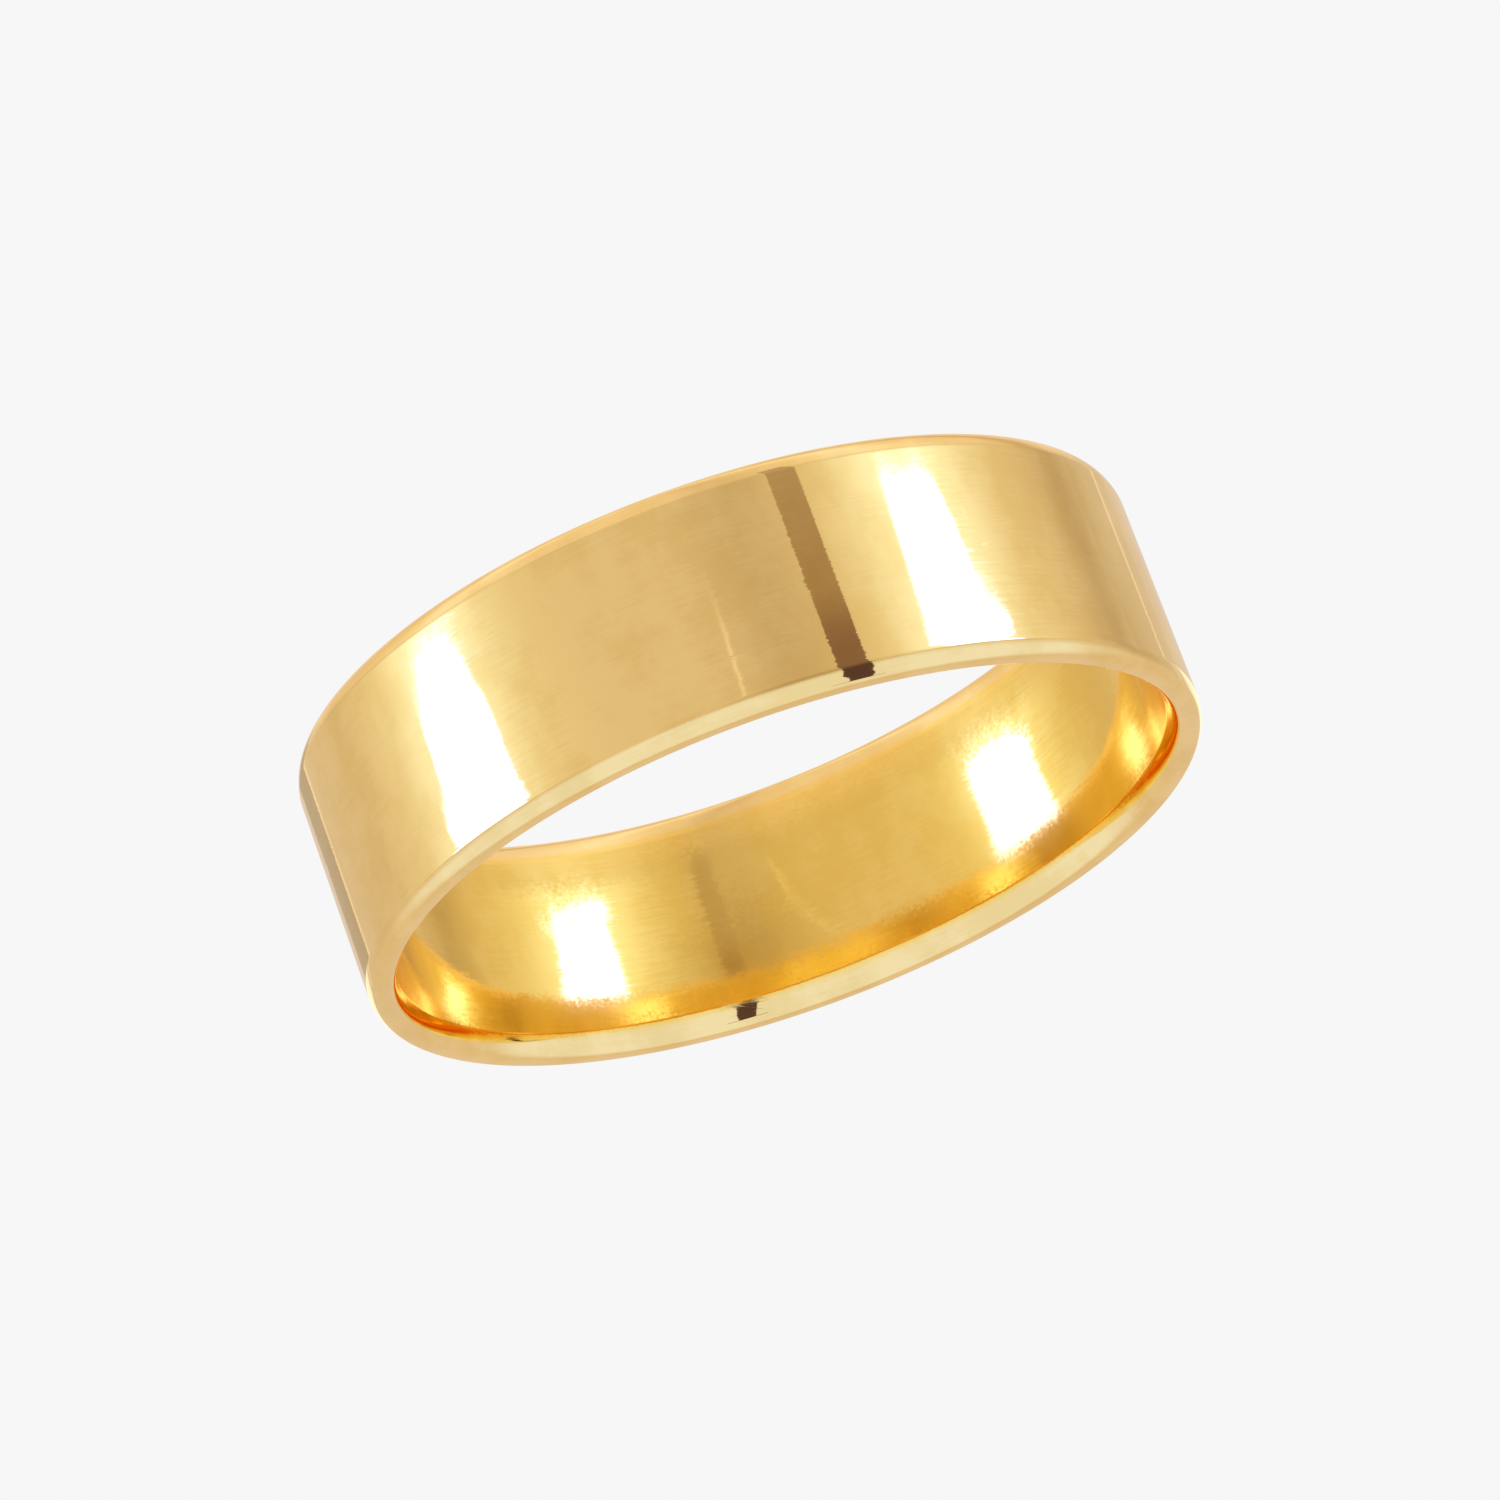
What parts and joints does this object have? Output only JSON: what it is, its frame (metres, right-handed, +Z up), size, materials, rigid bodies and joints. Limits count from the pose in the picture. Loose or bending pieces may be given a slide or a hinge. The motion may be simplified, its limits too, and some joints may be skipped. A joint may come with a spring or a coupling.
{
  "type": "wedding band",
  "caption": "Plain polished yellow-gold wedding band: flat outside, rounded rims, slightly domed comfort-fit bore with eased edges, one seamless piece.",
  "frame": {"origin": "on the finger axis, in the plane that the band rests on when it lies flat", "axes": "+Z up along the finger axis; X and Y across the band, which is the same in every direction"},
  "size_m": [0.0212, 0.0212, 0.006],
  "materials": {
    "gold": "mirror-polished yellow gold alloy"
  },
  "bodies": {
    "root": {"band": "gold"}
  },
  "joints": []
}
